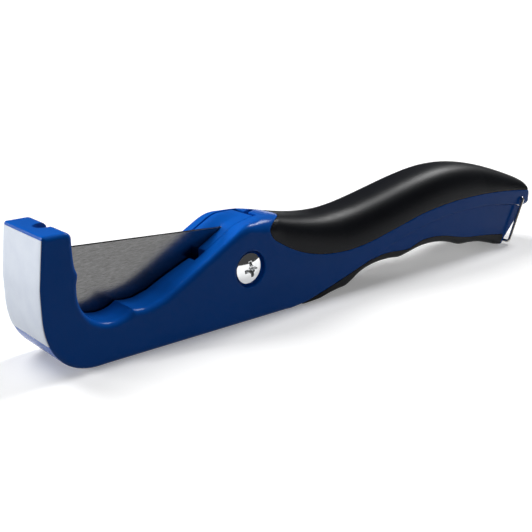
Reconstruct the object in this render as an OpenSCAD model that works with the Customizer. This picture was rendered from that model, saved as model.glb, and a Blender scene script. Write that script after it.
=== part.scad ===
// One-hand pipe and tubing cutter, closed and latched.
// +X runs from the hook to the rear of the handle, +Z is up, +Y is the far side.
// The part is drawn from the hook's outer face at x = 0, then centred on X by place().

/* [Overall] */
// Overall length of the body
body_l = 232.3; // [200:0.1:260]
// Width of the body
body_w = 25; // [20:0.5:30]
// Height of the hook above the flat base
hook_h = 42; // [36:0.5:48]

/* [Jaw] */
// Radius of the half-round pipe seat
seat_r = 11.2; // [8:0.1:14]
// Centre of the pipe seat from the hook's outer face
seat_x = 22.3; // [20:0.1:26]
// Centre of the pipe seat above the base
seat_z = 24; // [22:0.1:28]
// Width of the blade slot in the seat
slot_w = 2.2; // [1.8:0.1:3]
// Width of the blade-tip notch in the hook
notch_w = 4.8; // [3:0.1:6]

/* [Pivot] */
// Pivot axis from the hook's outer face
pivot_x = 73.6; // [70:0.1:78]
// Pivot axis above the base
pivot_z = 18.3; // [16:0.1:20]
// Radius of the pivot post
post_r = 4; // [3:0.1:5]
// Radial running clearance on the post
post_clear = 0.06; // [0.02:0.01:0.1]
// Radius of the screw's head
screw_head_r = 5.4; // [4.5:0.05:6]
// Radius of the counterbore round the screw's head
counterbore_r = 6.2; // [6:0.1:7]
// Depth of the counterbore
counterbore_d = 2.5; // [2:0.1:4]

/* [Blade] */
// Thickness of the blade
blade_t = 1.2; // [0.8:0.1:2]
// Radius of the blade pins
blade_pin_r = 1.6; // [1:0.1:2]

/* [Lever] */
// Radius of the blade carrier round the pivot
carrier_r = 16.9; // [15:0.1:17]
// Near face of the blade carrier
carrier_near = -4.5; // [-6:0.1:-4]
// Far face of the blade carrier
carrier_far = 6.9; // [6:0.1:8]
// Width of the lever below the handle's rim
lever_w = 23.4; // [20:0.1:24]
// Width of the lever inside the handle
lever_core_w = 19.4; // [16:0.1:20]

/* [Handle] */
// Thickness of the rubber over the handle
grip_t = 2.2; // [1.5:0.1:3]
// Thickness of the handle's walls
wall = 2.2; // [1.6:0.1:3]

/* [Latch] */
// Radius of the latch wire
wire_r = 0.65; // [0.5:0.05:1]
// Latch hinge from the hook's outer face
latch_x = 225.3; // [220:0.1:228]
// Latch hinge above the base
latch_z = 19.3; // [18:0.1:20]

/* [View] */
// Node to draw

/* [Hidden] */
$fn = 64;
half_w = body_w / 2;
cavity_r = carrier_r + 0.35;
cavity_near = carrier_near - 0.15;
cavity_far = carrier_far + 0.8;
core_half = half_w - grip_t + 0.2;
core_steps = [[core_half, grip_t + 5], [core_half - 2.1, grip_t + 2], [core_half - 4.6, grip_t + 0.3]];
base_edge_r = 2;
end_corner_r = 2;
hook_corner_r = 1.6;
curve_x = 17.5;
curve_z = 20;
curve_n = 2.3;
seam = 0.35;
scoop_tip = 93.2;
scoop_depth = 12.2;
scoop_steps = 8;
crown_depth = 16;
crown_end_depth = 6;
crown_taper_x = 200;
screw_dome_r = 12;
screw_face = -half_w - 0.4;
label_t = 0.2;
label_top = [1.62, 41.0];
hook_face_x = 1.7;
hook_edge_r = 0.8;
label_steps = 4;
hook_steps = 14;
label_end = 90 * label_steps / hook_steps;
boss_x = 220;
leg_y = half_w + 1;
latch_bar = [217.2, 1.4];
corner_r = wire_r + 0.03;
recess_r = 9;
recess_y = 3;
spring_r = 7.2;
spring_wire_r = 0.55;
spring_pitch = 1.15;
spring_coils = 2;
blade_pins = [[63.8, 23.4], [63.8, 11.2]];
body_blue = "#17347c";
rubber_black = "#1b1d20";
steel_grey = "#a5a7a8";

// Points on an arc from angle a0 to a1
function arc(cx, cz, r, a0, a1, n) = [
  for (i = [0:n]) let (a = a0 + (a1 - a0) * i / n) [cx + r * cos(a), cz + r * sin(a)]
];

// Squared-off quarter curve under the hook, grown outwards by g
function hook_curve(g, t0, t1, n) = [
  for (i = [0:n]) let (t = t0 + (t1 - t0) * i / n)
    [curve_x - (curve_x + g) * pow(cos(t), 2 / curve_n),
     curve_z - (curve_z + g) * pow(sin(t), 2 / curve_n)]
];

// A list of points, last first
function flip(p) = [for (i = [len(p) - 1:-1:0]) p[i]];

// Straight-line height of a run of points at x
function height(p, x) = lookup(x, p);

// Side lines of the handle and the lever, as [x, z]
handle_top = [[76, 33.5], [82, 33.5], [88, 33], [94, 31.7], [102, 30.2], [110, 29.3], [118, 29.2], [126, 29.8],
              [134, 31], [144, 32.9], [154, 34.9], [163, 36.5], [171, 37.6], [179, 38.1], [188, 37.8],
              [196, 36.8], [204, 35.2], [212, 33], [219, 30.8], [224.5, 28.9], [228.4, 27.4], [230.8, 26.1], [232.1, 24.2]];
rubber_line = [[81.2, 29.3], [83.2, 26.9], [87.1, 24.3], [92.8, 21.2], [99.3, 18.7], [107, 16.9], [115, 16.1],
               [122, 16.1], [131, 17.1], [140.3, 18.9], [149.9, 20.9], [158, 22.6], [168.4, 24], [180.5, 24.9],
               [193.1, 25], [206.5, 24.5], [220.6, 23.3], [232.3, 21.8]];
rim_line = [[92, 0], [97, 0.8], [104, 2.5], [111, 4.3], [118, 6.3], [126, 8.6], [134, 10.9], [146, 14.5],
            [157.3, 17.1], [169, 18.8], [181, 19.8], [193.7, 19.9], [207.2, 18.9], [221.6, 16.9], [227, 15.4]];
lever_blue = [[131, 9.2], [134, 9.9], [138, 10.5], [142, 10.6], [148, 10.1], [153, 9.9], [156.5, 10.8],
              [160.5, 11.8], [166, 12.1], [174, 11.3], [183.4, 9.2], [190, 7.9], [197, 7.1], [207, 5.9], [215.2, 4.4]];
lever_under = [[95.5, 0.25], [101, 0.3], [106, 0.5], [111.3, 1.2], [116.3, 1.6], [119.2, 1.9], [121.5, 2.9],
               [126.6, 5.6], [131.9, 7.1], [137.3, 7.7], [142.9, 7.7], [148.7, 7.2], [154.4, 8.1], [160.3, 9.1],
               [166.4, 9.3], [172.6, 8.8], [179.2, 7.4], [185.9, 5.3], [192.6, 4.8], [199, 4], [203, 3], [207, 1.9],
               [210.5, 0.9], [213.6, 0.4]];
lever_rear = [[213.6, 0.4], [214.2, 0.35], [215, 0.8], [216.6, 3], [219, 5.5], [222.4, 8.9], [224.9, 11.6],
              [225.9, 13.2], [225.9, 14.8]];
slope = [[81.2, 33.5], [77.7, 33.5], [74.2, 33.4], [72, 32.9], [69.6, 31.7], [45.5, 18.4], [40.3, 15.9],
         [36.2, 14.8], [33.3, 14.4], [30.5, 14.6]];

frame_side = concat(
  arc(hook_face_x + hook_edge_r, hook_h - hook_edge_r, hook_edge_r, 90, 175, 4),
  [[0, 27.2]],
  hook_curve(0, 0, 90, hook_steps),
  rim_line,
  arc(body_l - 2.5, 17.9, 2.5, -90, 0, 5),
  flip(rubber_line),
  slope,
  arc(seat_x, seat_z, seat_r, -53, -180, 20),
  [[11.2, 26.6], [11.7, 29.4], [11, 31.6], [10.6, 36.7]],
  arc(8.6, hook_h - 2, 2, 0, 90, 5)
);

module place() {
  translate([(label_t - body_l) / 2, 0, 0])
    children();
}

// A plate of the drawn side shape between two widths
module slab(near, far) {
  translate([0, far, 0])
    rotate([90, 0, 0])
      linear_extrude(height = far - near)
        children();
}

// A round bar along Y
module cross_bar(x, z, r, near, far) {
  translate([x, far, z])
    rotate([90, 0, 0])
      cylinder(r = r, h = far - near);
}

// Rounded crown that the rubber and the blue shoulder share
crown_steps = 10;
function crown_power(x) = x < 84 ? 7 : (x > 118 ? 2.7 : 7 - 4.3 * (x - 84) / 34);
function crown_half(x) = x > body_l - end_corner_r
  ? half_w - end_corner_r + sqrt(max(0, pow(end_corner_r, 2) - pow(x - body_l + end_corner_r, 2)))
  : half_w;
function crown_base(x) = height(handle_top, x)
  - lookup(x, [[crown_taper_x, crown_depth], [body_l, crown_end_depth]]);
function crown_ring(x) = [
  for (i = [0:2 * crown_steps])
    let (t = 90 * i / crown_steps, c = cos(t), p = 2 / crown_power(x))
      [x,
       sign(c) * crown_half(x) * pow(abs(c), p),
       crown_base(x) + (height(handle_top, x) - crown_base(x)) * pow(sin(t), p)]
];
module crown() {
  xs = [for (q = handle_top) q[0]];
  n = 2 * crown_steps + 1;
  rings = [for (x = xs) crown_ring(x)];
  last = (len(xs) - 1) * n;
  polyhedron(
    points = [for (r = rings) each r],
    faces = concat(
      [[for (i = [0:n - 1]) i]],
      [[for (i = [n - 1:-1:0]) last + i]],
      [for (k = [0:len(xs) - 2]) for (i = [0:n - 2]) [k * n + i, (k + 1) * n + i, (k + 1) * n + i + 1]],
      [for (k = [0:len(xs) - 2]) for (i = [0:n - 2]) [k * n + i, (k + 1) * n + i + 1, k * n + i + 1]],
      [for (k = [0:len(xs) - 2]) [k * n + n - 1, (k + 1) * n + n - 1, (k + 1) * n]],
      [for (k = [0:len(xs) - 2]) [k * n + n - 1, (k + 1) * n, k * n]]
    )
  );
}

// One step of the handle's core under the rubber, down to just below the rubber's edge
module core_step(half, drop) {
  slab(-half, half)
    polygon(concat(
      [for (q = handle_top) if (q[0] > 83 && q[0] < 228) [q[0], q[1] - drop]],
      flip([for (q = rubber_line) if (q[0] > 83 && q[0] < 228) [q[0], q[1] - 0.6]])
    ));
}

// Stepped core of the handle that the rubber is moulded over
module handle_core() {
  for (q = core_steps)
    core_step(q[0], q[1]);
}

// Plan-view scoop where the rubber's front edge meets the blue shoulder
module shoulder_scoop() {
  translate([0, 0, 15])
    linear_extrude(height = 30)
      polygon(concat(
        [[60, -half_w - 1]],
        [for (i = [-scoop_steps:scoop_steps]) let (t = 1.08 * i / scoop_steps)
          [scoop_tip - scoop_depth * t * t, half_w * t]],
        [[60, half_w + 1]]
      ));
}

module frame() {
  color(body_blue)
    place()
      difference() {
        union() {
          intersection() {
            slab(-half_w, half_w)
              polygon(frame_side);
            plan_outline();
          }
          handle_core();
          intersection() {
            crown();
            shoulder_scoop();
            slab(-half_w, half_w)
              polygon([[81.2, 22], [96, 22], [96, 40], [81.2, 40]]);
          }
        }
        base_edges();
        head_cavity();
        handle_cavity();
        roof_slit();
        blade_slot();
        pivot_holes();
        latch_holes();
      }
}

// Outline seen from above, with rounded corners
module plan_outline() {
  linear_extrude(height = hook_h)
    polygon(concat(
      arc(hook_corner_r, half_w - hook_corner_r, hook_corner_r, 180, 90, 5),
      arc(body_l - end_corner_r, half_w - end_corner_r, end_corner_r, 90, 0, 6),
      arc(body_l - end_corner_r, end_corner_r - half_w, end_corner_r, 0, -90, 6),
      arc(hook_corner_r, hook_corner_r - half_w, hook_corner_r, 270, 180, 5)
    ));
}

// Rounding of the two long edges of the base
module base_edges() {
  for (s = [-1, 1])
    difference() {
      translate([-1, s * half_w - base_edge_r, -base_edge_r])
        cube([body_l + 2, 2 * base_edge_r, 2 * base_edge_r]);
      translate([-2, s * (half_w - base_edge_r), base_edge_r])
        rotate([0, 90, 0])
          cylinder(r = base_edge_r, h = body_l + 4);
    }
}

// Short slanting slit in the roof behind the blade carrier
module roof_slit() {
  translate([81.5, 0.4, 32.3])
    rotate([0, 0, 29])
      cube([7, 0.7, 3]);
}

// Space between the cheeks for the blade carrier and the lever's arm
module head_cavity() {
  cross_bar(pivot_x, pivot_z, cavity_r, cavity_near, cavity_far);
  slab(cavity_near, cavity_far)
    polygon([[34.5, 14.3], [40.3, 15.8], [46, 18.5], [50, 20.2], [54, 21.8], [58.2, 23.4], [83, 23.4],
             [83, 45], [34.5, 45]]);
  slab(cavity_near, cavity_far)
    polygon([[71, -1], [71, 6], [82, 26.6], [94, 26.3], [104, 24.6], [112, 23.8], [112, -1]]);
}

// Space inside the handle for the lever, open below
module handle_cavity() {
  slab(wall - half_w, half_w - wall)
    polygon(concat(
      [[boss_x, 5], [boss_x, 20.5]],
      flip([for (q = rubber_line) if (q[0] > 106 && q[0] < boss_x) [q[0], q[1] - 1.6]]),
      [[103, 12], [103, -1], [134, 5]]
    ));
  for (q = core_steps)
    slab(wall - q[0], q[0] - wall)
      polygon(concat(
        [[boss_x, 12], [boss_x, height(handle_top, boss_x) - q[1] - wall]],
        flip([for (p = handle_top) if (p[0] > 108 && p[0] < boss_x) [p[0], p[1] - q[1] - wall]]),
        [[110, 12]]
      ));
}

// Slot that the blade closes into, and the notch for its tip
module blade_slot() {
  slab(-slot_w / 2, slot_w / 2)
    polygon([[6.8, 45], [6.8, 16], [10, 9.5], [15, 7.4], [64, 6.5], [64, 45]]);
  translate([8.9, 0, seat_z])
    cylinder(r = notch_w / 2, h = hook_h);
  translate([8.9, -notch_w / 2, seat_z])
    cube([6, notch_w, hook_h]);
}

module pivot_holes() {
  cross_bar(pivot_x, pivot_z, post_r + 0.03, -half_w, half_w);
  cross_bar(pivot_x, pivot_z, counterbore_r, -half_w - 1, counterbore_d - half_w);
  cross_bar(pivot_x, pivot_z, counterbore_r, half_w - counterbore_d, half_w + 1);
}

module latch_holes() {
  cross_bar(latch_x, latch_z, wire_r + 0.08, -half_w - 1, 6.2 - half_w);
  cross_bar(latch_x, latch_z, wire_r + 0.08, half_w - 6.2, half_w + 1);
}

module handle_grip() {
  color(rubber_black)
    place()
      difference() {
        intersection() {
          crown();
          slab(-half_w, half_w)
            polygon(concat(rubber_line, [[232.3, 42], [81.2, 42]]));
        }
        handle_core();
        shoulder_scoop();
      }
}

module hook_label() {
  color("#dfe6ee")
    place()
      slab(-11.9, 11.9)
        polygon(concat(
          [[label_top[0], label_top[1]], [0, 27.2]],
          hook_curve(0, 0, label_end, label_steps),
          flip(hook_curve(label_t, 0, label_end, label_steps)),
          [[-label_t, 27.2], [label_top[0] - label_t, label_top[1]]]
        ));
}

module pivot_post() {
  color(steel_grey)
    place()
      difference() {
        union() {
          cross_bar(pivot_x, pivot_z, post_r, counterbore_d - half_w, half_w - 1);
          cross_bar(pivot_x, pivot_z, screw_head_r, half_w - counterbore_d, half_w - 0.5);
        }
        cross_bar(pivot_x, pivot_z, 2.35, -half_w, 6);
        translate([pivot_x - 4, half_w - 1.5, pivot_z - 0.6])
          cube([8, 2, 1.2]);
      }
}

module pivot_screw() {
  color("#c9cbcc")
    place()
      difference() {
        union() {
          cross_bar(pivot_x, pivot_z, 2.3, -half_w + 2, 4);
          intersection() {
            cross_bar(pivot_x, pivot_z, screw_head_r, screw_face, counterbore_d - half_w);
            translate([pivot_x, screw_face + screw_dome_r, pivot_z])
              sphere(r = screw_dome_r);
          }
        }
        translate([pivot_x - 0.6, screw_face - 0.1, pivot_z - 3.1])
          cube([1.2, 2, 6.2]);
        translate([pivot_x - 3.1, screw_face - 0.1, pivot_z - 0.6])
          cube([6.2, 2, 1.2]);
      }
}

// Centre line of the torsion spring: a leg, the coils, and the other leg, as [x, y, z] from the pivot
coil_steps = 20;
spring_turns = spring_coils + 0.5;
spring_path = concat(
  [[24, recess_y + 0.8, -spring_r - 0.4]],
  [for (i = [0:coil_steps * spring_turns])
    let (a = 270 - 360 * i / coil_steps)
      [spring_r * cos(a), recess_y + 0.8 + spring_pitch * i / coil_steps, spring_r * sin(a)]],
  [[22, recess_y + 0.8 + spring_pitch * spring_turns, spring_r - 0.4]]
);

// Wire of the torsion spring in the carrier's recess
module return_spring() {
  sides = 8;
  count = len(spring_path);
  function along(k) = let (d = spring_path[min(k + 1, count - 1)] - spring_path[max(k - 1, 0)]) d / norm(d);
  function spoke(k) = let (s = cross(along(k), [0, 1, 0])) s / norm(s);
  rings = [
    for (k = [0:count - 1]) for (i = [0:sides - 1])
      let (a = 360 * i / sides)
        spring_path[k] + spring_wire_r * (cos(a) * spoke(k) + sin(a) * cross(along(k), spoke(k)))
  ];
  color("#8e9092")
    place()
      translate([pivot_x, 0, pivot_z])
        polyhedron(
          points = rings,
          faces = concat(
            [[for (i = [0:sides - 1]) i]],
            [[for (i = [sides - 1:-1:0]) (count - 1) * sides + i]],
            [for (k = [0:count - 2]) for (i = [0:sides - 1])
              [k * sides + i, (k + 1) * sides + i, (k + 1) * sides + (i + 1) % sides]],
            [for (k = [0:count - 2]) for (i = [0:sides - 1])
              [k * sides + i, (k + 1) * sides + (i + 1) % sides, k * sides + (i + 1) % sides]]
          )
        );
}

// Carrier face, arm and channel of the lever
module lever() {
  color(body_blue)
    place()
      difference() {
        union() {
          intersection() {
            slab(carrier_near, carrier_far)
              polygon([[61.3, 26.2], [61, 11], [62, 2], [82.3, 2], [92, 8], [92, 24], [81.6, 33.1], [73.5, 32.9],
                       [70.5, 31.4]]);
            cross_bar(pivot_x, pivot_z, carrier_r, -half_w, half_w);
          }
          slab(carrier_near, carrier_far)
            polygon([[78, 8], [82.3, 5], [84.5, 2], [112, 3], [124, 9], [124, 18], [104, 20.5], [92, 20.5],
                     [78, 16]]);
          slab(-lever_core_w / 2, lever_core_w / 2)
            polygon([[109, 2.8], [117, 5], [126, 7.4], [136, 12], [150, 13.2], [166, 14.7], [190, 11], [213, 8],
                     [217, 14.5], [207, 17.9], [194, 18.9], [181, 18.8], [169, 17.8], [157, 17.2], [141, 16.6],
                     [131, 14.8], [122, 13.8], [109.5, 12]]);
          slab(-lever_w / 2, lever_w / 2)
            polygon(concat(
              lever_blue,
              lever_rear,
              flip([for (q = rim_line) if (q[0] > 133 && q[0] < 224) [q[0] + 0.1, q[1] - seam]])
            ));
        }
        spring_recess();
        lever_channel();
        cross_bar(pivot_x, pivot_z, post_r + post_clear, -half_w, half_w);
        slab(-blade_t / 2, blade_t / 2)
          polygon(blade_side);
        for (p = blade_pins)
          cross_bar(p[0], p[1], blade_pin_r, -half_w, half_w);
      }
}

module spring_recess() {
  difference() {
    union() {
      cross_bar(pivot_x, pivot_z, recess_r, recess_y, half_w);
      slab(recess_y, half_w)
        polygon([[pivot_x, pivot_z], [pivot_x + 24, pivot_z - 2], [pivot_x + 24, pivot_z + 18],
                 [pivot_x + 8.4, pivot_z + 14.4]]);
      slab(recess_y, half_w)
        polygon([[pivot_x, 9.9], [99, 9.9], [99, 12.3], [pivot_x, 12.3]]);
    }
    cross_bar(pivot_x, pivot_z, 5.9, recess_y - 1, half_w);
  }
}

// The lever is a channel, open above
module lever_channel() {
  half = lever_core_w / 2 - wall;
  slab(-half, half)
    polygon([[128, 30], [128, 10.5], [134, 12.6], [148, 14.2], [160, 15.6], [172, 15.8], [190, 12.4], [204, 11],
             [211, 10], [212, 30]]);
}

module lever_grip() {
  color(rubber_black)
    place()
      difference() {
        slab(-lever_w / 2 - 0.1, lever_w / 2 + 0.1)
          polygon(concat(
            lever_under,
            flip(lever_blue),
            flip([for (q = rim_line) if (q[0] > 98 && q[0] < 133) [q[0] + 1, q[1] - seam]])
          ));
        slab(-lever_core_w / 2, lever_core_w / 2)
          polygon([[109, 2.8], [117, 5], [126, 7.4], [134, 10.2], [134, 14], [109, 12]]);
        slab(carrier_near, carrier_far)
          polygon([[84.5, 2], [112, 3], [124, 9], [84.5, 9]]);
      }
}

// Blade outline with its tang round the pivot
blade_side = concat(
  [[9.4, 34.6], [8.2, 34], [7.6, 32.6], [7.5, 24], [8.4, 17], [11.4, 11.6], [16, 9.4], [24, 8.4], [62.5, 7.9]],
  arc(pivot_x, pivot_z, 8.4, -110, 55, 12),
  [[74.6, 29.9], [70.4, 30.7]]
);
module blade() {
  color(steel_grey)
    place()
      difference() {
        slab(-blade_t / 2, blade_t / 2)
          polygon(blade_side);
        cross_bar(pivot_x, pivot_z, post_r + post_clear, -half_w, half_w);
        for (p = blade_pins)
          cross_bar(p[0], p[1], blade_pin_r, -half_w, half_w);
      }
}

module blade_pin(p) {
  color("#7f8183")
    place()
      cross_bar(p[0], p[1], blade_pin_r, carrier_near + 0.1, carrier_far - 0.1);
}

module blade_pin_high() {
  blade_pin(blade_pins[0]);
}

module blade_pin_low() {
  blade_pin(blade_pins[1]);
}

// Wire bail: two inward pins, two legs and the bar under the lever
module wire_latch() {
  run = [latch_bar[0] - latch_x, latch_bar[1] - latch_z];
  color("#c4c6c7")
    place() {
      for (s = [-1, 1]) {
        cross_bar(latch_x, latch_z, wire_r, s > 0 ? half_w - 6 : -leg_y, s > 0 ? leg_y : 6 - half_w);
        translate([latch_x, s * leg_y, latch_z])
          sphere(r = corner_r);
        translate([latch_x, s * leg_y, latch_z])
          rotate([0, atan2(run[0], run[1]), 0])
            cylinder(r = wire_r, h = norm(run));
        translate([latch_bar[0], s * leg_y, latch_bar[1]])
          sphere(r = corner_r);
      }
      cross_bar(latch_bar[0], latch_bar[1], wire_r, -leg_y, leg_y);
    }
}

frame();
handle_grip();
hook_label();
pivot_post();
pivot_screw();
return_spring();
lever();
lever_grip();
blade();
blade_pin_high();
blade_pin_low();
wire_latch();
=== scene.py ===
import math

import bpy
import numpy as np
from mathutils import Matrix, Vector


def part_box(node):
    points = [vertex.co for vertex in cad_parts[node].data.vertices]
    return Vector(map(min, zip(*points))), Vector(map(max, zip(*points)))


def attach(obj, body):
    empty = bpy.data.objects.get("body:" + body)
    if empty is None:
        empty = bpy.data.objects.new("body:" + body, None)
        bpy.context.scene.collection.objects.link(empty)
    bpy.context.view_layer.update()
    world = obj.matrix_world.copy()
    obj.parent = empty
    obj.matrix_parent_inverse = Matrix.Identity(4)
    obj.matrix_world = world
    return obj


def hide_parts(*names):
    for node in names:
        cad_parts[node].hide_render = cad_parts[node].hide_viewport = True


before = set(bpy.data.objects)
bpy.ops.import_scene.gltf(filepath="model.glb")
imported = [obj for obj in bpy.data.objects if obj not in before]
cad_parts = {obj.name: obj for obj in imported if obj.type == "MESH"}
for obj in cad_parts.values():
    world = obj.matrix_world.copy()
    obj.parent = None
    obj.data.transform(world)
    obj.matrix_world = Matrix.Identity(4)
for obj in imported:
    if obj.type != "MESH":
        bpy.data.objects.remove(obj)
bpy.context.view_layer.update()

# Shapes are worked out in millimetres: x runs back from the hook's outer face, y from the near side to the
# far side with 0 on the middle plane, and z up from the base. A side outline is a list of (x, z) points.
# A field is a function of x, y and z that is negative inside a shape and about its distance outside.
MM = 0.001
HOOK_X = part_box("frame")[0].x
BODY_L = (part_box("frame")[1].x - HOOK_X) / MM
HALF_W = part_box("frame")[1].y / MM
PIVOT = (73.6, 18.3)
LATCH = (225.3, 19.3)
LATCH_BAR = (217.2, 1.4)
SEAT = (22.3, 24.0, 11.2)
HOOK_H = 42.0
LEVER_HALF = 11.7
POST_R, POST_HOLE_R, BORE_R = 4, 4.05, 4.06
CARRIER_NEAR, CARRIER_FAR = -4.5, 6.9
CARRIER_R, CAVITY_R = 16.9, 17.25
CAVITY_FAR = 7.7
HEAD_R = 5.4
COUNTERBORE_R = 6.2
SHANK_R, HOLLOW_R = 2.3, 2.35
WIRE_R = 0.65
WIRE_HOLE_R = 0.75
BLADE_HALF = 0.6
BLADE_SLOT_HALF = 0.62
JAW_SLOT_HALF = 1.1
SPRING_R, SPRING_WIRE_R = 7.2, 0.55
SPRING_NEAR, SPRING_PITCH, SPRING_TURNS = 3.8, 1.15, 2.5
LABEL_HALF, LABEL_TURN = 11.75, 1.35
LABEL_UNDER, LABEL_OVER = 0.02, 0.19
CAP_HALF = 5.8


# ---------------------------------------------------------------- outlines

def arc(cx, cz, r, a0, a1, n):
    """Points on an arc from angle a0 to a1, in degrees."""
    t = np.radians(np.linspace(a0, a1, n))
    return np.stack([cx + r * np.cos(t), cz + r * np.sin(t)], 1)


def curve(points, per=8):
    """A smooth curve through the points, with per steps between each two."""
    p = np.array(points, float)
    p = np.vstack([2 * p[0] - p[1], p, 2 * p[-1] - p[-2]])
    gap = np.sqrt(np.linalg.norm(np.diff(p, axis=0), axis=1))
    out = []
    for i in range(1, len(p) - 2):
        d0, d1, d2 = gap[i - 1], gap[i], gap[i + 1]
        m1 = d1 * ((p[i] - p[i - 1]) / d0 - (p[i + 1] - p[i - 1]) / (d0 + d1)) + (p[i + 1] - p[i])
        m2 = d1 * ((p[i + 2] - p[i + 1]) / d2 - (p[i + 2] - p[i]) / (d1 + d2)) + (p[i + 1] - p[i])
        for k in range(per):
            t = k / per
            out.append((2 * t ** 3 - 3 * t ** 2 + 1) * p[i] + (t ** 3 - 2 * t ** 2 + t) * m1
                       + (3 * t ** 2 - 2 * t ** 3) * p[i + 1] + (t ** 3 - t ** 2) * m2)
    out.append(p[-2])
    return np.array(out)


def hook_curve(grow, t0, t1, n):
    """Squared-off quarter curve under the hook, grown outwards."""
    t = np.radians(np.linspace(t0, t1, n))
    x = 17.5 - (17.5 + grow) * np.cos(t) ** (2 / 2.3)
    z = 20 - (20 + grow) * np.sin(t) ** (2 / 2.3)
    return np.stack([x, z], 1)


HANDLE_TOP = curve([(81.2, 33.5), (84, 33.45), (88, 33), (94, 31.7), (102, 30.2), (110, 29.3), (118, 29.2),
                    (126, 29.8), (134, 31), (144, 32.9), (154, 34.9), (163, 36.5), (171, 37.6),
                    (179, 38.1), (188, 37.8), (196, 36.8), (204, 35.2), (212, 33), (219, 30.8),
                    (224.5, 28.9), (228.4, 27.4), (230.8, 26.1), (232.1, 24.2)])
RUBBER_LINE = curve([(81.2, 29.3), (83.2, 26.9), (87.1, 24.3), (92.8, 21.2), (99.3, 18.7), (107, 16.9),
                     (115, 16.1), (122, 16.1), (131, 17.1), (140.3, 18.9), (149.9, 20.9), (158, 22.6),
                     (168.4, 24), (180.5, 24.9), (193.1, 25), (206.5, 24.5), (220.6, 23.3), (232.3, 21.8)])
RIM_LINE = curve([(92, 0), (97, 0.8), (104, 2.5), (111, 4.3), (118, 6.3), (126, 8.6), (134, 10.9),
                  (146, 14.5), (157.3, 17.1), (169, 18.8), (181, 19.8), (193.7, 19.9), (207.2, 18.9),
                  (221.6, 16.9), (227, 15.4)])
LEVER_BLUE = curve([(131, 9.2), (134, 9.9), (138, 10.5), (142, 10.6), (148, 10.1), (153, 9.9),
                    (156.5, 10.8), (160.5, 11.8), (166, 12.1), (174, 11.3), (183.4, 9.2), (190, 7.9),
                    (197, 7.1), (207, 5.9), (215.2, 4.4)])
LEVER_UNDER = curve([(95.5, 0.25), (101, 0.3), (106, 0.5), (111.3, 1.2), (116.3, 1.6), (119.2, 1.9),
                     (121.5, 2.9), (126.6, 5.6), (131.9, 7.1), (137.3, 7.7), (142.9, 7.7), (148.7, 7.2),
                     (154.4, 8.1), (160.3, 9.1), (166.4, 9.3), (172.6, 8.8), (179.2, 7.4), (185.9, 5.3),
                     (192.6, 4.8), (199, 4), (203, 3), (207, 1.9), (210.5, 0.9), (213.6, 0.4)])
LEVER_REAR = curve([(214.2, 0.35), (215, 0.8), (216.6, 3), (219, 5.5), (222.4, 8.9), (224.9, 11.6),
                    (225.8, 13.2), (225.8, 15.3)], 4)
SLOPE = curve([(81.2, 33.5), (77.7, 33.5), (74.4, 33.4), (72.2, 32.9), (69.6, 31.7), (56, 24.2), (45.5, 18.4),
               (40.3, 15.9), (36.2, 14.8), (33.3, 14.4), (30.5, 14.6)])
HOOK_INNER = curve([(11.1, 24), (11.2, 26.6), (11.7, 29.4), (11, 31.6), (10.6, 36.7), (10.6, 40)])


def along(line):
    """The height of a side line at x."""
    return lambda x: np.interp(x, line[:, 0], line[:, 1])


top_z = along(HANDLE_TOP)


# ---------------------------------------------------------------- distance fields

class Side:
    """Signed distance to a closed side outline, negative inside, sampled once on a grid."""
    step = 0.25

    def __init__(self, *parts, box=None):
        p = np.vstack([np.atleast_2d(np.array(q, float)) for q in parts])
        lo = np.array([-4.0, -5.0]) if box is None else np.array(box[0], float)
        hi = np.array([238.0, 47.0]) if box is None else np.array(box[1], float)
        self.lo = lo
        n = np.ceil((hi - lo) / self.step).astype(int) + 1
        gx = (lo[0] + self.step * np.arange(n[0]))[:, None]
        gz = (lo[1] + self.step * np.arange(n[1]))[None, :]
        best = np.full((n[0], n[1]), 1e9)
        inside = np.zeros((n[0], n[1]), bool)
        for a, b in zip(p, np.roll(p, -1, 0)):
            d = b - a
            length = d @ d
            if length < 1e-12:
                continue
            t = np.clip(((gx - a[0]) * d[0] + (gz - a[1]) * d[1]) / length, 0, 1)
            np.minimum(best, (gx - a[0] - t * d[0]) ** 2 + (gz - a[1] - t * d[1]) ** 2, out=best)
            if a[1] != b[1]:
                row = (a[1] > gz) != (b[1] > gz)
                inside ^= row & (gx < d[0] * (gz - a[1]) / d[1] + a[0])
        self.grid = np.where(inside, -1, 1) * np.sqrt(best)

    def __call__(self, x, z):
        x, z = np.broadcast_arrays(x, z)
        u = np.clip((x - self.lo[0]) / self.step, 0, self.grid.shape[0] - 1.001)
        v = np.clip((z - self.lo[1]) / self.step, 0, self.grid.shape[1] - 1.001)
        i, j = u.astype(int), v.astype(int)
        u, v = u - i, v - j
        g = self.grid
        return ((g[i, j] * (1 - u) + g[i + 1, j] * u) * (1 - v)
                + (g[i, j + 1] * (1 - u) + g[i + 1, j + 1] * u) * v)


def both(a, b, r):
    """Where two shapes meet, with the edge between them rounded to radius r."""
    return np.minimum(np.maximum(a, b), -r) + np.hypot(np.maximum(a + r, 0), np.maximum(b + r, 0))


def cut(a, b, r=0.25):
    """The first shape without the second."""
    return both(a, -b, r)


def slab(y, near, far):
    """The space between two planes."""
    return np.maximum(near - y, y - far)


def smooth(x, a, b):
    """A soft step from 0 at a to 1 at b."""
    t = np.clip((x - a) / (b - a), 0, 1)
    return t * t * (3 - 2 * t)


def pin(x, z, centre, r):
    """An endless round bar across the tool."""
    return np.hypot(x - centre[0], z - centre[1]) - r


# ---------------------------------------------------------------- meshes from fields

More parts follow.
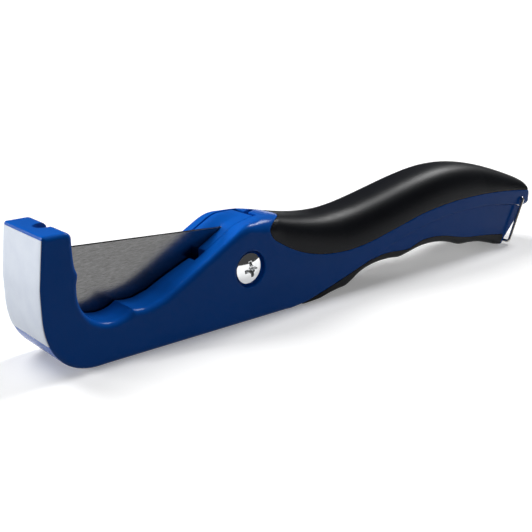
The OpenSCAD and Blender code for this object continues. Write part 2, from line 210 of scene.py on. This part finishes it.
def contour(name, field, xs, ys, zs, sharp=30):
    """A closed mesh on the zero surface of a field, with its sharp edges kept, from a grid of planes."""
    axes = [np.asarray(a, float) for a in (xs, ys, zs)]
    f = field(axes[0][:, None, None], axes[1][None, :, None], axes[2][None, None, :])
    f = np.broadcast_to(f, [len(a) for a in axes])
    inside = f < 0
    cells = [len(a) - 1 for a in axes]
    point, quads, flips = [], [], []
    for axis in range(3):
        a = [slice(None)] * 3
        b = [slice(None)] * 3
        a[axis], b[axis] = slice(0, -1), slice(1, None)
        u, v = (axis + 1) % 3, (axis + 2) % 3
        change = inside[tuple(a)] != inside[tuple(b)]
        ijk = np.array(np.nonzero(change))
        keep = (ijk[u] > 0) & (ijk[v] > 0) & (ijk[u] < cells[u]) & (ijk[v] < cells[v])
        ijk = ijk[:, keep]
        nxt = ijk.copy()
        nxt[axis] += 1
        fa, fb = f[tuple(ijk)], f[tuple(nxt)]
        p = np.stack([axes[d][ijk[d]] for d in range(3)], 1)
        span = axes[axis][nxt[axis]] - axes[axis][ijk[axis]]
        p[:, axis] += span * fa / (fa - fb)
        ring = []
        for du, dv in ((-1, -1), (0, -1), (0, 0), (-1, 0)):
            c = ijk.copy()
            c[u] += du
            c[v] += dv
            ring.append((c[0] * cells[1] + c[1]) * cells[2] + c[2])
        quads.append(np.stack(ring, 1))
        flips.append(fa > 0)
        point.append(p)
    points = np.vstack(point)
    quads = np.vstack(quads)
    flips = np.concatenate(flips)
    eps = 0.02
    base = field(*points.T)
    normal = np.stack([field(*(points + eps * np.eye(3)[d]).T) - base for d in range(3)], 1) / eps
    normal /= np.maximum(np.linalg.norm(normal, axis=1), 1e-9)[:, None]
    ids, where = np.unique(quads.ravel(), return_inverse=True)
    where = where.reshape(quads.shape)
    owner = where.ravel()
    per = lambda values: np.bincount(owner, np.repeat(values, 4), len(ids))
    count = per(np.ones(len(points)))
    mass = np.stack([per(points[:, d]) for d in range(3)], 1) / count[:, None]
    along_n = np.einsum("ij,ij->i", normal, points)
    A = np.zeros((len(ids), 3, 3))
    B = np.zeros((len(ids), 3))
    for i in range(3):
        B[:, i] = per(normal[:, i] * along_n)
        for j in range(3):
            A[:, i, j] = per(normal[:, i] * normal[:, j])
    hold = 0.06 * count
    for i in range(3):
        A[:, i, i] += hold
        B[:, i] += hold * mass[:, i]
    verts = np.linalg.solve(A, B[:, :, None])[:, :, 0]
    cz = ids % cells[2]
    cy = ids // cells[2] % cells[1]
    cx = ids // (cells[1] * cells[2])
    for d, c in enumerate((cx, cy, cz)):
        verts[:, d] = np.clip(verts[:, d], axes[d][c], axes[d][c + 1])
    faces = np.where(flips[:, None], where[:, ::-1], where)
    return make_mesh(name, verts, faces, sharp)


def make_mesh(name, verts, faces, sharp=30):
    """A mesh object from millimetre points in the hook's own frame; faces is an array of quads or a list."""
    me = bpy.data.meshes.new(name)
    co = np.asarray(verts, float) * MM
    co[:, 0] += HOOK_X
    me.from_pydata(co, [], [list(map(int, q)) for q in faces])
    me.validate()
    me.update()
    me.shade_smooth()
    me.set_sharp_from_angle(angle=math.radians(sharp))
    ob = bpy.data.objects.new(name, me)
    bpy.context.scene.collection.objects.link(ob)
    return ob


def steps(*runs):
    """Planes of a grid: each run is (end, spacing), and the first one is the start."""
    out = [runs[0]]
    for end, spacing in runs[1:]:
        n = max(1, int(round((end - out[-1]) / spacing)))
        out += list(np.linspace(out[-1], end, n + 1)[1:])
    return np.array(out)


# ---------------------------------------------------------------- the frame and its rubber

UPPER = Side([(-30, HOOK_H)], arc(8.6, HOOK_H - 2, 2, 90, 0, 8), HOOK_INNER[::-1][1:],
             arc(SEAT[0], SEAT[1], SEAT[2], -180, -53, 40)[1:], SLOPE[::-1], HANDLE_TOP[1:],
             [(BODY_L, 21.3), (BODY_L, -40), (-30, -40)])
LOWER = Side([(60, 90), (60, HOOK_H), (2.5, HOOK_H)], arc(2.5, HOOK_H - 0.8, 0.8, 90, 175, 6)[1:],
             [(0, 27.2)], hook_curve(0, 0, 90, 40), RIM_LINE, arc(BODY_L - 2.5, 17.9, 2.5, -90, 0, 10),
             [(BODY_L, 90)])
RUBBER_SIDE = Side(RUBBER_LINE, [(250, 21), (250, 70), (78, 70), (78, 33.2)])
CHANNEL = Side([(34.5, 14.3), (40.3, 15.8), (46, 18.5), (50, 20.2), (54, 21.8), (58.2, 23.4), (83, 23.4),
                (83, 60), (34.5, 60)])
ARM_SPACE = Side([(71, -6), (71, 6), (82, 26.6), (94, 26.3), (104, 24.6), (112, 23.8), (112, -6)])
LEVER_SPACE = Side([(220, 5), (220, 20.5)],
                   RUBBER_LINE[(RUBBER_LINE[:, 0] > 106) & (RUBBER_LINE[:, 0] < 220)][::-1] - [0, 1.6],
                   [(103, 12), (103, -6), (134, -6)])
SLOT = Side([(6.8, 60), (6.8, 16), (10, 9.5), (15, 7.4), (64, 6.5), (64, 60)])


def crest_dip(x):
    """How far the slope's inner part lies below its outer edge."""
    return 1.8 * np.interp(x, [46, 58, 69, 76, 80.5], [0, 1, 1, 0.5, 0])


def skin(x, y, z):
    """Outer shape that the blue body and the rubber share."""
    side = np.abs(y) - HALF_W
    dip = crest_dip(x) * smooth(y, -12.5, -4.8) * (y < 0)
    edge = np.interp(x, [0, 11, 15, 60, 70, 78, 84], [1.6, 1.4, 2.0, 2.0, 2.2, 4.4, 5.2])
    head = both(UPPER(x, z + dip), side, edge)
    power = np.interp(x, [82, 94, 118], [4.4, 3.8, 2.7])
    half = np.where(x > BODY_L - 2, HALF_W - 2 + np.sqrt(np.clip(4 - (x - BODY_L + 2) ** 2, 0, None)), HALF_W)
    rise = np.clip(1 + (z - top_z(x)) / np.interp(x, [200, BODY_L], [16, 6]), 0, None)
    crown = ((rise ** power + (np.abs(y) / half) ** power) ** (1 / power) - 1) * HALF_W
    crown = np.maximum(crown, x - BODY_L)
    share = smooth(x, 80, 90)
    upper = head * (1 - share) + crown * share
    low_edge = np.interp(x, [0, 12, 20, 90, 100, 226, 229], [1.3, 1.6, 2.0, 2.0, 0.3, 0.3, 2.2])
    return np.maximum(upper, both(LOWER(x, z), side, low_edge))


def rubber_part(x, y, z):
    """Where the rubber lies: above its line on the sides, and behind the scooped shoulder."""
    scoop = 93.2 - 12.2 * (y / HALF_W) ** 2 - x
    return both(RUBBER_SIDE(x, z), scoop / np.hypot(1, 1.95 * y / HALF_W), 1.5)


def roof_slit(x, y, z):
    """Short slanting slit behind the crest."""
    c, s = math.cos(math.radians(29)), math.sin(math.radians(29))
    u = (x - 81.5) * c + (y - 0.4) * s
    v = (y - 0.4) * c - (x - 81.5) * s
    return np.maximum(np.maximum(slab(u, -0.3, 7), slab(v, -0.7, 1.2)), 28 - z)


def frame_field(x, y, z):
    """The blue moulding: skin, less the head, the lever's space, the jaw's slot and the holes."""
    s = skin(x, y, z)
    body = np.minimum(np.maximum(s, 0.04 - rubber_part(x, y, z)), np.maximum(s + 2.1, 80 - x))
    head = np.minimum(np.minimum(CHANNEL(x, z), pin(x, z, PIVOT, CAVITY_R)), ARM_SPACE(x, z))
    body = cut(body, np.maximum(head, slab(y, 0, CAVITY_FAR)), 0.2)
    body = np.maximum(body, -np.maximum(head, slab(y, CARRIER_NEAR - 0.02, 1)))
    body = np.maximum(body, -roof_slit(x, y, z))
    body = cut(body, np.maximum(LEVER_SPACE(x, z), np.abs(y) - 10.3), 0.3)
    body = np.maximum(body, -np.maximum(s + 4.3, np.maximum(slab(x, 110, 220), 12 - z)))
    body = cut(body, np.maximum(SLOT(x, z), np.abs(y) - JAW_SLOT_HALF), 0.15)
    notch = np.minimum(np.hypot(x - 7.9, y) - 2.7, np.maximum(slab(x, 7.9, 15), np.abs(y) - 2.7))
    body = cut(body, np.maximum(notch, 24 - z), 0.3)
    body = cut(body, np.maximum(pin(x, z, PIVOT, COUNTERBORE_R), 10 - np.abs(y)), 0.2)
    body = np.maximum(body, -pin(x, z, PIVOT, POST_HOLE_R))
    return np.maximum(body, -pin(x, z, LATCH, WIRE_HOLE_R))


def grip_field(x, y, z):
    """The rubber over the handle, a shell laid into the skin."""
    s = skin(x, y, z)
    return np.maximum(both(s, rubber_part(x, y, z) + 0.02, 0.12), -(s + 2.05))


grid_x = steps(-1, (92, 0.52), (222, 1.1), (BODY_L + 1, 0.5))
grid_z = steps(-1, (HOOK_H + 1, 0.52))
frame_y = steps(-13.2, (-9.2, 0.4), (-5.6, 0.9), (3.2, 0.5), (6.8, 0.9), (8.8, 0.4), (9.2, 0.4), (13.2, 0.4))

blue_body = contour("blue_body", frame_field, grid_x, frame_y, grid_z)
top_grip = contour("top_grip", grip_field, steps(79, (BODY_L + 1, 0.6)), steps(-13.2, (13.2, 0.6)),
                   steps(13, (41, 0.5)))

# ---------------------------------------------------------------- the lever and its rubber

CARRIER = Side([(61.3, 40), (61, 11), (62, 2), (82.3, 2), (92, 8), (92, 24), (81.6, 33), (81.6, 40)],
               box=((50, -3), (100, 44)))
ARM = Side([(78, 8), (82.3, 5), (84.5, 2), (112, 3), (124, 9), (124, 18), (104, 20.5), (92, 20.5), (78, 16)],
           box=((60, -3), (140, 44)))
CORE = Side([(109, 2.8), (117, 5), (126, 7.4), (136, 12), (150, 13.2), (166, 14.7), (190, 11), (213, 8),
             (217, 14.5), (207, 17.9), (194, 18.9), (181, 18.8), (169, 17.8), (157, 17.2), (141, 16.6),
             (131, 14.8), (122, 13.8), (109.5, 12)])
RIM_CUT = RIM_LINE[(RIM_LINE[:, 0] > 133) & (RIM_LINE[:, 0] < 225.6)][::-1] + [0.1, -0.1]
SKIRT = Side(LEVER_BLUE, [(213.6, 0.4)], LEVER_REAR, RIM_CUT)
TROUGH = Side([(128, 60), (128, 10.5), (134, 12.6), (148, 14.2), (160, 15.6), (172, 15.8), (190, 12.4),
               (204, 11), (211, 10), (212, 60)])
UNDER = Side(LEVER_UNDER, LEVER_BLUE[::-1],
             RIM_LINE[(RIM_LINE[:, 0] > 98) & (RIM_LINE[:, 0] < 133)][::-1] + [1, -0.35])
RECESS_LEG = Side([PIVOT, (97.6, 16.3), (97.6, 36.3), (82, 32.7)], box=((60, -3), (110, 44)))
RECESS_SWEEP = Side([PIVOT, (80.8, 37), (100, 36)], box=((60, -3), (110, 44)))


def lever_field(x, y, z):
    """The blue lever: carrier, arm, core and skirt, less trough, spring recess, bore and blade slot."""
    level = np.where(y < 0, smooth(y, -12.5, -4.8), 1 - smooth(y, -0.6, 6))
    top = both(UPPER(x, z + crest_dip(x) * level), slab(y, -30, CARRIER_FAR), 0.3)
    crest = np.maximum(CARRIER(x, z), top)
    carrier = np.maximum(np.maximum(crest, pin(x, z, PIVOT, CARRIER_R)), slab(y, CARRIER_NEAR, CARRIER_FAR))
    arm = np.maximum(ARM(x, z), slab(y, CARRIER_NEAR, CARRIER_FAR))
    core = np.maximum(CORE(x, z), np.abs(y) - 9.7)
    edge = np.interp(x, [205, 214, 222, 225], [0.2, 0.7, 0.5, 0.3])
    skirt = both(SKIRT(x, z), np.abs(y) - LEVER_HALF, edge)
    body = np.minimum(np.minimum(carrier, arm), np.minimum(core, skirt))
    body = cut(body, np.maximum(TROUGH(x, z), np.abs(y) - 7.5), 0.3)
    sweep = np.minimum(np.maximum(RECESS_SWEEP(x, z), pin(x, z, PIVOT, 14.8)),
                       np.maximum(np.maximum(73 - x, 18.3 - z), pin(x, z, PIVOT, 12.3)))
    coil = np.maximum(np.minimum(np.minimum(pin(x, z, PIVOT, 9), RECESS_LEG(x, z)), sweep), 3 - y)
    body = np.maximum(body, -np.maximum(coil, 5.9 - np.hypot(x - PIVOT[0], z - PIVOT[1])))
    body = np.maximum(body, -pin(x, z, PIVOT, BORE_R))
    back = np.minimum(x - 70.9, np.maximum(x - 74, z - 29.8))
    return np.maximum(body, -np.maximum(np.abs(y) - BLADE_SLOT_HALF, back))


def under_grip_field(x, y, z):
    """The rubber with finger grooves under the lever."""
    side = np.abs(y) - LEVER_HALF - 0.1
    lowest = np.interp(x, LEVER_UNDER[:, 0], LEVER_UNDER[:, 1])
    roll = np.interp(x, [96, 106, 116, 208, 213], [0.2, 0.6, 2.0, 2.0, 0.8])
    body = both(UNDER(x, z), side, 0.12)
    return np.maximum(body, both(lowest - z, side, roll))


lever_y = steps(-12.2, (-9.2, 0.5), (-5, 0.8), (7.4, 0.5), (9.2, 0.6), (12.2, 0.5))
under_y = steps(-12.4, (-9.2, 0.4), (9.2, 1.3), (12.4, 0.4))
blue_lever = contour("blue_lever", lever_field, steps(58, (228, 0.5)), lever_y, steps(-0.5, (36, 0.5)))
under_grip = contour("under_grip", under_grip_field, steps(94.5, (216.5, 0.5)), under_y,
                     steps(-0.5, (16, 0.45)))


# ---------------------------------------------------------------- plates, wires and turned pieces

def plate(name, outline, near, far, chamfer):
    """A flat plate with a small chamfer round both faces."""
    p = np.array(outline, float)
    d = np.roll(p, -1, 0) - np.roll(p, 1, 0)
    out = np.stack([d[:, 1], -d[:, 0]], 1)
    area = np.sum(p[:, 0] * np.roll(p[:, 1], -1) - p[:, 1] * np.roll(p[:, 0], -1))
    out *= np.sign(area) / np.linalg.norm(out, axis=1)[:, None]
    n = len(p)
    verts, faces = [], []
    for y, inset in ((near, chamfer), (near + chamfer, 0), (far - chamfer, 0), (far, chamfer)):
        q = p - inset * out
        verts += [(x, y, z) for x, z in q]
    for k in range(3):
        for i in range(n):
            j = (i + 1) % n
            faces.append((k * n + i, k * n + j, (k + 1) * n + j, (k + 1) * n + i))
    faces.append(tuple(range(n))[::-1])
    faces.append(tuple(range(3 * n, 4 * n)))
    if area < 0:
        faces = [f[::-1] for f in faces]
    return make_mesh(name, verts, faces, 20)


def tube(name, path, radius, sides=16):
    """A round wire along a path, with flat ends."""
    p = np.array(path, float)
    d = np.gradient(p, axis=0)
    d /= np.linalg.norm(d, axis=1)[:, None]
    side = np.cross(d[0], (0.3, 0.5, 0.81))
    verts, faces = [], []
    for k in range(len(p)):
        side = side - (side @ d[k]) * d[k]
        side /= np.linalg.norm(side)
        other = np.cross(d[k], side)
        for i in range(sides):
            t = 2 * math.pi * i / sides
            verts.append(p[k] + radius * (math.cos(t) * side + math.sin(t) * other))
    for k in range(len(p) - 1):
        for i in range(sides):
            j = (i + 1) % sides
            faces.append((k * sides + i, k * sides + j, (k + 1) * sides + j, (k + 1) * sides + i))
    faces.append(tuple(range(sides))[::-1])
    faces.append(tuple((len(p) - 1) * sides + i for i in range(sides)))
    return make_mesh(name, verts, faces, 40)


def bend(points, radius, n=8):
    """A path with its inner corners rounded."""
    p = [np.array(q, float) for q in points]
    out = [p[0]]
    for a, b, c in zip(p, p[1:], p[2:]):
        u, v = (a - b) / np.linalg.norm(a - b), (c - b) / np.linalg.norm(c - b)
        half = math.acos(np.clip(u @ v, -1, 1)) / 2
        reach = radius / math.tan(half)
        start, end = b + u * reach, b + v * reach
        for t in np.linspace(0, 1, n):
            out.append((1 - t) ** 2 * start + 2 * t * (1 - t) * b + t * t * end)
    out.append(p[-1])
    return out


BLADE_SIDE = np.vstack([
    [(9.4, 34.6), (8.2, 34), (7.6, 32.6), (7.5, 24), (8.4, 17), (11.4, 11.6), (16, 9.4), (24, 8.4),
     (62.5, 7.9)],
    arc(PIVOT[0], PIVOT[1], 8.4, -110, 55, 24), [(74.6, 29.9), (70.4, 30.7)]])
steel_blade = plate("steel_blade", BLADE_SIDE, -BLADE_HALF, BLADE_HALF, 0.12)

leg_y = HALF_W + 1
latch_path = bend([(LATCH[0], 6 - HALF_W, LATCH[1]), (LATCH[0], -leg_y, LATCH[1]),
                   (LATCH_BAR[0], -leg_y, LATCH_BAR[1]), (LATCH_BAR[0], leg_y, LATCH_BAR[1]),
                   (LATCH[0], leg_y, LATCH[1]), (LATCH[0], HALF_W - 6, LATCH[1])], 1.1)
latch_wire = tube("latch_wire", latch_path, WIRE_R, 20)

turns = np.linspace(0, SPRING_TURNS, 120)
turned = np.radians(270 - 360 * turns)
coil = np.stack([PIVOT[0] + SPRING_R * np.cos(turned), SPRING_NEAR + SPRING_PITCH * turns,
                 PIVOT[1] + SPRING_R * np.sin(turned)], 1)
spring_far = SPRING_NEAR + SPRING_PITCH * SPRING_TURNS
spring_path = np.vstack([[(PIVOT[0] + 24, SPRING_NEAR, PIVOT[1] - 7.6)], coil,
                         [(PIVOT[0] + 22, spring_far, PIVOT[1] + 4.4)]])
lever_spring = tube("lever_spring", spring_path, SPRING_WIRE_R, 12)


def screw_field(x, y, z):
    """The pan head with its cross recess, and a plain shank."""
    u, v = x - PIVOT[0], z - PIVOT[1]
    r = np.hypot(u, v)
    depth = y + HALF_W + 0.4
    dome = np.sqrt(r ** 2 + (depth - 12) ** 2) - 12
    head = np.maximum(both(dome, r - HEAD_R, 0.15), depth - 2.9)
    shank = np.maximum(r - SHANK_R, slab(y, 2 - HALF_W, 4))
    body = np.minimum(head, shank)
    turn = math.radians(12)
    a, b = u * math.cos(turn) + v * math.sin(turn), v * math.cos(turn) - u * math.sin(turn)
    narrow = np.clip(depth, 0, None)
    wing = np.minimum(np.maximum(np.abs(a) - 0.62 + 0.1 * narrow, np.abs(b) - 3.1 + 1.1 * narrow),
                      np.maximum(np.abs(b) - 0.62 + 0.1 * narrow, np.abs(a) - 3.1 + 1.1 * narrow))
    well = np.minimum(wing, r - 1.45 + 0.6 * narrow)
    return cut(body, np.maximum(well, depth - 2.1), 0.08)


def post_field(x, y, z):
    """The hollow post with a slotted head on the far side."""
    u, v = x - PIVOT[0], z - PIVOT[1]
    r = np.hypot(u, v)
    body = np.minimum(np.maximum(r - POST_R, slab(y, 2.5 - HALF_W, HALF_W - 1)),
                      both(r - HEAD_R, slab(y, HALF_W - 2.5, HALF_W - 0.5), 0.35))
    body = np.maximum(body, -np.maximum(r - HOLLOW_R, y - 6))
    slot = np.maximum(np.maximum(np.abs(v) - 0.6, np.abs(u) - 4), HALF_W - 1.5 - y)
    return cut(body, slot, 0.08)


cap_x, cap_z = (steps(c - CAP_HALF, (c + CAP_HALF, 0.15)) for c in PIVOT)
cross_screw = contour("cross_screw", screw_field, cap_x, steps(-13.2, (-9.9, 0.16), (4.6, 1.0)), cap_z, 35)
hollow_post = contour("hollow_post", post_field, cap_x, steps(-10.4, (9.4, 1.2), (12.4, 0.2)), cap_z, 35)


def label_mesh():
    """A thin film wrapped on the hook's outer face."""
    line = np.vstack([[(1.66, 41), (0.81, 33.9), (0.2, 28.6), (0, 26.2), (0, 23)],
                      hook_curve(0, 0, 25.7, 16)])
    d = np.gradient(line, axis=0)
    d /= np.linalg.norm(d, axis=1)[:, None]
    out = np.stack([d[:, 1], -d[:, 0]], 1)
    across = np.linspace(-LABEL_HALF, LABEL_HALF, 31)
    verts, faces = [], []
    rows, cols = len(line), len(across)
    for lift in (LABEL_UNDER, LABEL_OVER):
        for p, n in zip(line, out):
            for y in across:
                over = max(abs(y) - (HALF_W - LABEL_TURN), 0)
                drop = LABEL_TURN - math.sqrt(LABEL_TURN ** 2 - over ** 2)
                q = p + n * (lift - drop)
                verts.append((q[0], y, q[1]))
    size = rows * cols
    for i in range(rows - 1):
        for j in range(cols - 1):
            a = i * cols + j
            faces.append((a, a + 1, a + cols + 1, a + cols))
            faces.append(tuple(size + k for k in (a + cols, a + cols + 1, a + 1, a)))
    rim = ([(0, j) for j in range(cols)] + [(i, cols - 1) for i in range(1, rows)]
           + [(rows - 1, j) for j in range(cols - 2, -1, -1)] + [(i, 0) for i in range(rows - 2, 0, -1)])
    for (i, j), (k, m) in zip(rim, rim[1:] + rim[:1]):
        a, b = i * cols + j, k * cols + m
        faces.append((b, a, a + size, b + size))
    return make_mesh("blank_label", verts, faces, 40)


blank_label = label_mesh()

# ---------------------------------------------------------------- materials

def material(name):
    """A new material, its node tree and its shader."""
    m = bpy.data.materials.new(name)
    m.use_nodes = True
    tree = m.node_tree
    shader = tree.nodes["Principled BSDF"]
    return m, tree, shader


def node(tree, kind, **values):
    """A new node with its properties or inputs set."""
    n = tree.nodes.new(kind)
    for key, value in values.items():
        if hasattr(n, key) and key not in n.inputs:
            setattr(n, key, value)
        else:
            n.inputs[key].default_value = value
    return n


def object_point(tree, scale=(1, 1, 1)):
    """Object position, stretched, as a texture vector."""
    where = node(tree, "ShaderNodeTexCoord")
    mapping = node(tree, "ShaderNodeMapping", Scale=scale)
    tree.links.new(where.outputs["Object"], mapping.inputs["Vector"])
    return mapping.outputs["Vector"]


def noise(tree, vector, scale, detail=3.0, roughness=0.5):
    """Noise from 0 to 1; scale is in cells to the metre."""
    n = node(tree, "ShaderNodeTexNoise", Scale=scale, Detail=detail, Roughness=roughness)
    tree.links.new(vector, n.inputs["Vector"])
    return n.outputs["Fac"]


def ramp(tree, value, stops):
    """A value turned into colour; each stop is (value, colour)."""
    n = node(tree, "ShaderNodeValToRGB")
    points = n.color_ramp.elements
    while len(points) < len(stops):
        points.new(0.5)
    for e, (at, colour) in zip(points, stops):
        e.position = at
        e.color = (*colour, 1)
    tree.links.new(value, n.inputs["Fac"])
    return n.outputs["Color"]


def spread(tree, value, low, high):
    """A value from 0 to 1 spread between low and high."""
    n = node(tree, "ShaderNodeMapRange")
    n.inputs["To Min"].default_value = low
    n.inputs["To Max"].default_value = high
    tree.links.new(value, n.inputs["Value"])
    return n.outputs["Result"]


def bump(tree, shader, heights):
    """Bumps in a chain; each is (height, depth in metres)."""
    last = None
    for height, depth in heights:
        n = node(tree, "ShaderNodeBump", Strength=1.0, Distance=depth)
        tree.links.new(height, n.inputs["Height"])
        if last:
            tree.links.new(last, n.inputs["Normal"])
        last = n.outputs["Normal"]
    tree.links.new(last, shader.inputs["Normal"])


def blue_plastic():
    m, tree, shader = material("blue_plastic")
    p = object_point(tree)
    cloud = noise(tree, p, 40, 4)
    tree.links.new(ramp(tree, cloud, [(0.3, (0.0025, 0.088, 0.43)), (0.7, (0.0035, 0.098, 0.48))]),
                   shader.inputs["Base Color"])
    grain = noise(tree, p, 2600, 2)
    tree.links.new(spread(tree, noise(tree, p, 300, 3), 0.19, 0.25), shader.inputs["Roughness"])
    shader.inputs["Specular IOR Level"].default_value = 0.08
    bump(tree, shader, [(grain, 0.000012)])
    return m


def black_rubber():
    m, tree, shader = material("black_rubber")
    p = object_point(tree)
    cloud = noise(tree, p, 60, 3)
    tree.links.new(ramp(tree, cloud, [(0.3, (0.0022, 0.003, 0.0052)), (0.7, (0.0038, 0.0048, 0.0078))]),
                   shader.inputs["Base Color"])
    grain = noise(tree, p, 1900, 3)
    tree.links.new(spread(tree, noise(tree, p, 500, 3), 0.36, 0.46), shader.inputs["Roughness"])
    shader.inputs["Specular IOR Level"].default_value = 0.15
    bump(tree, shader, [(grain, 0.00004)])
    return m


def ground_steel():
    m, tree, shader = material("ground_steel")
    streak = noise(tree, object_point(tree, (1, 1, 12)), 600, 4, 0.65)
    broad = noise(tree, object_point(tree, (1, 1, 4)), 90, 3)
    tree.links.new(ramp(tree, streak, [(0.28, (0.10, 0.099, 0.097)), (0.72, (0.22, 0.22, 0.222))]),
                   shader.inputs["Base Color"])
    tree.links.new(spread(tree, broad, 0.15, 0.22), shader.inputs["Roughness"])
    shader.inputs["Metallic"].default_value = 1
    shader.inputs["Anisotropic"].default_value = 0.4
    bump(tree, shader, [(streak, 0.00001)])
    return m


def bright_metal(name, colour, rough, depth):
    m, tree, shader = material(name)
    p = object_point(tree)
    mark = noise(tree, p, 700, 3)
    tree.links.new(ramp(tree, mark, [(0.3, tuple(0.93 * c for c in colour)), (0.7, colour)]),
                   shader.inputs["Base Color"])
    tree.links.new(spread(tree, noise(tree, p, 350, 2), 0.8 * rough, 1.25 * rough),
                   shader.inputs["Roughness"])
    shader.inputs["Metallic"].default_value = 1
    bump(tree, shader, [(mark, depth)])
    return m


def label_film():
    m, tree, shader = material("label_film")
    p = object_point(tree)
    tree.links.new(ramp(tree, noise(tree, p, 180, 3), [(0.3, (0.60, 0.66, 0.77)), (0.7, (0.65, 0.71, 0.81))]),
                   shader.inputs["Base Color"])
    tree.links.new(spread(tree, noise(tree, p, 400, 2), 0.38, 0.5), shader.inputs["Roughness"])
    bump(tree, shader, [(noise(tree, p, 120, 2), 0.00002)])
    return m


PLASTIC = blue_plastic()
RUBBER = black_rubber()
BLADE_STEEL = ground_steel()
CHROME = bright_metal("screw_chrome", (0.86, 0.87, 0.88), 0.06, 0.000002)
WIRE = bright_metal("bright_steel", (0.70, 0.69, 0.67), 0.2, 0.000004)
LABEL = label_film()

PIECES = [
    (blue_body, "frame", "frame", "frame_plastic", PLASTIC),
    (top_grip, "frame", "handle_grip", "grip_rubber", RUBBER),
    (blank_label, "frame", "hook_label", "label_film", LABEL),
    (hollow_post, "frame", "pivot_post", "bright_steel", WIRE),
    (cross_screw, "frame", "pivot_screw", "screw_chrome", CHROME),
    (lever_spring, "frame", "return_spring", "bright_steel", WIRE),
    (blue_lever, "lever", "lever", "frame_plastic", PLASTIC),
    (under_grip, "lever", "lever_grip", "grip_rubber", RUBBER),
    (steel_blade, "lever", "blade", "blade_steel", BLADE_STEEL),
    (latch_wire, "latch", "wire_latch", "bright_steel", WIRE),
]
for piece, body, cad_node, slot, look in PIECES:
    piece.data.materials.append(look)
    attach(piece, body)
    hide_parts(cad_node)
for name in ("blade_pin_high", "blade_pin_low"):
    pin_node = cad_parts[name]
    pin_node.data.materials.clear()
    pin_node.data.materials.append(WIRE)

# ---------------------------------------------------------------- floor, light and camera

def floor():
    """A wide pale floor that takes the shadow. Metal mirrors it, but it throws no soft light on the tool."""
    size = 40.0
    me = bpy.data.meshes.new("floor")
    corners = [(-size, -size, 0), (size, -size, 0), (size, size, 0), (-size, size, 0)]
    me.from_pydata(corners, [], [(0, 1, 2, 3)])
    ob = bpy.data.objects.new("floor", me)
    bpy.context.scene.collection.objects.link(ob)
    m, tree, shader = material("pale_floor")
    shader.inputs["Base Color"].default_value = (0.86, 0.86, 0.86, 1)
    shader.inputs["Roughness"].default_value = 0.7
    shader.inputs["Emission Color"].default_value = (1, 1, 1, 1)
    shader.inputs["Emission Strength"].default_value = 0.22
    me.materials.append(m)
    ob.visible_diffuse = False
    return ob


def area_light(name, place, aim, size, power):
    """A rectangular light at a place, facing a point."""
    data = bpy.data.lights.new(name, "AREA")
    data.shape = "RECTANGLE"
    data.size, data.size_y = size
    data.energy = power
    ob = bpy.data.objects.new(name, data)
    ob.location = place
    ob.rotation_euler = (Vector(aim) - Vector(place)).to_track_quat("-Z", "Y").to_euler()
    bpy.context.scene.collection.objects.link(ob)
    return ob


def sun_light(name, toward, spread_deg, power):
    """A soft sun; toward points from the object to the light."""
    data = bpy.data.lights.new(name, "SUN")
    data.energy = power
    data.angle = math.radians(spread_deg)
    ob = bpy.data.objects.new(name, data)
    ob.rotation_euler = (-Vector(toward)).to_track_quat("-Z", "Y").to_euler()
    bpy.context.scene.collection.objects.link(ob)
    return ob


floor()
top = sun_light("top_light", (-0.15, 0.64, 0.75), 34, 2.35)
top.visible_glossy = False
sun_light("edge_light", (0.66, 0.12, 0.74), 18, 2.0)
sun_light("label_light", (-0.68, 0.72, 0.12), 24, 3.2)
front = area_light("front_light", (-0.3, -1.2, 0.5), (0, 0, 0.02), (1.0, 1.0), 2.3)
front.visible_glossy = False
world = bpy.data.worlds.new("studio")
world.use_nodes = True
world.node_tree.nodes["Background"].inputs["Color"].default_value = (1, 1, 1, 1)
world.node_tree.nodes["Background"].inputs["Strength"].default_value = 0.06
bpy.context.scene.world = world
bpy.context.scene.view_settings.view_transform = "Standard"

camera_data = bpy.data.cameras.new("camera")
camera_data.sensor_width = 36
camera_data.lens = 58.35
camera_data.clip_start = 0.01
camera = bpy.data.objects.new("camera", camera_data)
bpy.context.scene.collection.objects.link(camera)
EYE = Vector((HOOK_X - 0.09601, -0.21972, 0.1045))
HEADING = math.radians(49.67)
PITCH = math.radians(17.63)
camera.location = EYE
look = Vector((math.cos(HEADING) * math.cos(PITCH), math.sin(HEADING) * math.cos(PITCH), -math.sin(PITCH)))
camera.rotation_euler = look.to_track_quat("-Z", "Y").to_euler()
bpy.context.scene.camera = camera
